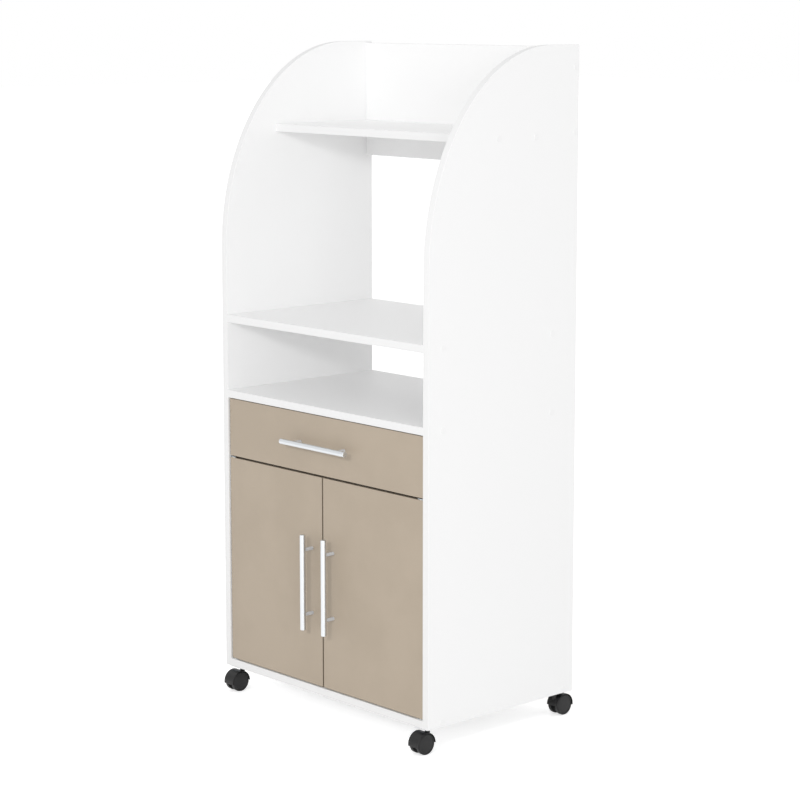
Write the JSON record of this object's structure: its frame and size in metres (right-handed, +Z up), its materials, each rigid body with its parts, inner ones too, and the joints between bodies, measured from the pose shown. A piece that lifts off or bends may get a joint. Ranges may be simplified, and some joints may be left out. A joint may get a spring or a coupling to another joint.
{
  "type": "microwave cart",
  "caption": "Tall white kitchen cart on casters with open shelves for a microwave, a taupe drawer and a taupe two-door cabinet below, and curved front corners on the sides.",
  "frame": {"origin": "centre of the whole outline, on the floor under the wheels", "axes": "+Z up, +X to the right seen from the front, the drawer and doors face -Y"},
  "size_m": [0.6016, 0.4262, 1.3005],
  "materials": {
    "white_melamine": "satin white melamine on particle board",
    "white_hardboard": "thin hardboard with a white painted face",
    "taupe_melamine": "matt taupe melamine on particle board",
    "drawer_board": "satin white melamine on thin particle board",
    "zinc_steel": "bright zinc plate",
    "white_plastic": "smooth white moulding",
    "beech_dowel": "bare beech",
    "pin_steel": "plain nickel plate",
    "runner_steel": "white powder coat",
    "roller_nylon": "natural nylon",
    "satin_metal": "satin nickel",
    "black_nylon": "satin black nylon moulding",
    "black_wheel": "satin black nylon",
    "axle_steel": "plain steel"
  },
  "bodies": {
    "cart": {"bottom_panel": "white_melamine", "cabinet_back_panel": "white_hardboard", "carcass_screws": "zinc_steel", "caster_mount_plates": "axle_steel", "counter_panel": "white_melamine", "fixed_runner_left": "runner_steel", "fixed_runner_right": "runner_steel", "front_stretcher": "white_melamine", "inner_shelf": "white_melamine", "lower_pivot_plates": "zinc_steel", "magnetic_catch": "white_plastic", "microwave_shelf": "white_melamine", "screw_caps": "white_plastic", "shelf_support_pins": "pin_steel", "side_panel_left": "white_melamine", "side_panel_right": "white_melamine", "stretcher_dowels": "beech_dowel", "top_shelf": "white_melamine", "upper_back_panel": "white_melamine", "upper_pivot_plates": "zinc_steel"},
    "drawer": {"drawer_front": "taupe_melamine", "drawer_side_left": "drawer_board", "drawer_side_right": "drawer_board", "drawer_back": "drawer_board", "drawer_bottom": "white_hardboard", "moving_runner_left": "runner_steel", "moving_runner_right": "runner_steel", "drawer_handle_bar": "satin_metal", "drawer_handle_posts": "satin_metal"},
    "left_door": {"door_left": "taupe_melamine", "pivot_bushes_left": "roller_nylon", "strike_plate_left": "zinc_steel", "left_handle_bar": "satin_metal", "left_handle_posts": "satin_metal"},
    "right_door": {"door_right": "taupe_melamine", "pivot_bushes_right": "roller_nylon", "strike_plate_right": "zinc_steel", "right_handle_bar": "satin_metal", "right_handle_posts": "satin_metal"},
    "front_roller_left_turning": {"front_roller_left": "roller_nylon"},
    "rear_roller_left_turning": {"rear_roller_left": "roller_nylon"},
    "front_roller_right_turning": {"front_roller_right": "roller_nylon"},
    "rear_roller_right_turning": {"rear_roller_right": "roller_nylon"},
    "caster_front_left": {"caster_housing_front_left": "black_nylon", "caster_axle_front_left": "axle_steel"},
    "wheel_front_left_inner": {"caster_wheel_front_left_inner": "black_wheel"},
    "wheel_front_left_outer": {"caster_wheel_front_left_outer": "black_wheel"},
    "caster_front_right": {"caster_housing_front_right": "black_nylon", "caster_axle_front_right": "axle_steel"},
    "wheel_front_right_inner": {"caster_wheel_front_right_inner": "black_wheel"},
    "wheel_front_right_outer": {"caster_wheel_front_right_outer": "black_wheel"},
    "caster_rear_left": {"caster_housing_rear_left": "black_nylon", "caster_axle_rear_left": "axle_steel"},
    "wheel_rear_left_inner": {"caster_wheel_rear_left_inner": "black_wheel"},
    "wheel_rear_left_outer": {"caster_wheel_rear_left_outer": "black_wheel"},
    "caster_rear_right": {"caster_housing_rear_right": "black_nylon", "caster_axle_rear_right": "axle_steel"},
    "wheel_rear_right_inner": {"caster_wheel_rear_right_inner": "black_wheel"},
    "wheel_rear_right_outer": {"caster_wheel_rear_right_outer": "black_wheel"}
  },
  "joints": [
    {"name": "drawer_slide", "type": "slide", "parent": "cart", "child": "drawer", "axis": [0, -1, 0], "range_m": [0, 0.26]},
    {"name": "left_door_hinge", "type": "hinge", "parent": "cart", "child": "left_door", "pos_m": [-0.2755, -0.1781, 0.274], "axis": [0, 0, -1], "range_deg": [0, 110]},
    {"name": "right_door_hinge", "type": "hinge", "parent": "cart", "child": "right_door", "pos_m": [0.2755, -0.1781, 0.274], "axis": [0, 0, 1], "range_deg": [0, 110]},
    {"name": "front_roller_left_spin", "type": "hinge", "parent": "cart", "child": "front_roller_left_turning", "pos_m": [-0.2795, -0.1561, 0.5116], "axis": [1, 0, 0], "continuous": true},
    {"name": "rear_roller_left_spin", "type": "hinge", "parent": "drawer", "child": "rear_roller_left_turning", "pos_m": [-0.278, 0.1729, 0.5105], "axis": [1, 0, 0], "continuous": true},
    {"name": "front_roller_right_spin", "type": "hinge", "parent": "cart", "child": "front_roller_right_turning", "pos_m": [0.2795, -0.1561, 0.5116], "axis": [1, 0, 0], "continuous": true},
    {"name": "rear_roller_right_spin", "type": "hinge", "parent": "drawer", "child": "rear_roller_right_turning", "pos_m": [0.278, 0.1729, 0.5105], "axis": [1, 0, 0], "continuous": true},
    {"name": "caster_front_left_swivel", "type": "hinge", "parent": "cart", "child": "caster_front_left", "pos_m": [-0.275, -0.1641, 0.042], "axis": [0, 0, 1], "continuous": true},
    {"name": "wheel_front_left_inner_spin", "type": "hinge", "parent": "caster_front_left", "child": "wheel_front_left_inner", "pos_m": [-0.2655, -0.1781, 0.02], "axis": [1, 0, 0], "continuous": true},
    {"name": "wheel_front_left_outer_spin", "type": "hinge", "parent": "caster_front_left", "child": "wheel_front_left_outer", "pos_m": [-0.2845, -0.1781, 0.02], "axis": [1, 0, 0], "continuous": true},
    {"name": "caster_front_right_swivel", "type": "hinge", "parent": "cart", "child": "caster_front_right", "pos_m": [0.275, -0.1641, 0.042], "axis": [0, 0, 1], "continuous": true},
    {"name": "wheel_front_right_inner_spin", "type": "hinge", "parent": "caster_front_right", "child": "wheel_front_right_inner", "pos_m": [0.2655, -0.1781, 0.02], "axis": [1, 0, 0], "continuous": true},
    {"name": "wheel_front_right_outer_spin", "type": "hinge", "parent": "caster_front_right", "child": "wheel_front_right_outer", "pos_m": [0.2845, -0.1781, 0.02], "axis": [1, 0, 0], "continuous": true},
    {"name": "caster_rear_left_swivel", "type": "hinge", "parent": "cart", "child": "caster_rear_left", "pos_m": [-0.275, 0.1769, 0.042], "axis": [0, 0, 1], "continuous": true},
    {"name": "wheel_rear_left_inner_spin", "type": "hinge", "parent": "caster_rear_left", "child": "wheel_rear_left_inner", "pos_m": [-0.2655, 0.1909, 0.02], "axis": [1, 0, 0], "continuous": true},
    {"name": "wheel_rear_left_outer_spin", "type": "hinge", "parent": "caster_rear_left", "child": "wheel_rear_left_outer", "pos_m": [-0.2845, 0.1909, 0.02], "axis": [1, 0, 0], "continuous": true},
    {"name": "caster_rear_right_swivel", "type": "hinge", "parent": "cart", "child": "caster_rear_right", "pos_m": [0.275, 0.1769, 0.042], "axis": [0, 0, 1], "continuous": true},
    {"name": "wheel_rear_right_inner_spin", "type": "hinge", "parent": "caster_rear_right", "child": "wheel_rear_right_inner", "pos_m": [0.2655, 0.1909, 0.02], "axis": [1, 0, 0], "continuous": true},
    {"name": "wheel_rear_right_outer_spin", "type": "hinge", "parent": "caster_rear_right", "child": "wheel_rear_right_outer", "pos_m": [0.2845, 0.1909, 0.02], "axis": [1, 0, 0], "continuous": true}
  ],
  "couplings": [
    {"joint": "front_roller_left_spin", "follows": "drawer_slide", "rad_per_m": 106.38},
    {"joint": "rear_roller_left_spin", "follows": "drawer_slide", "rad_per_m": 117.65},
    {"joint": "front_roller_right_spin", "follows": "drawer_slide", "rad_per_m": 106.38},
    {"joint": "rear_roller_right_spin", "follows": "drawer_slide", "rad_per_m": 117.65}
  ]
}
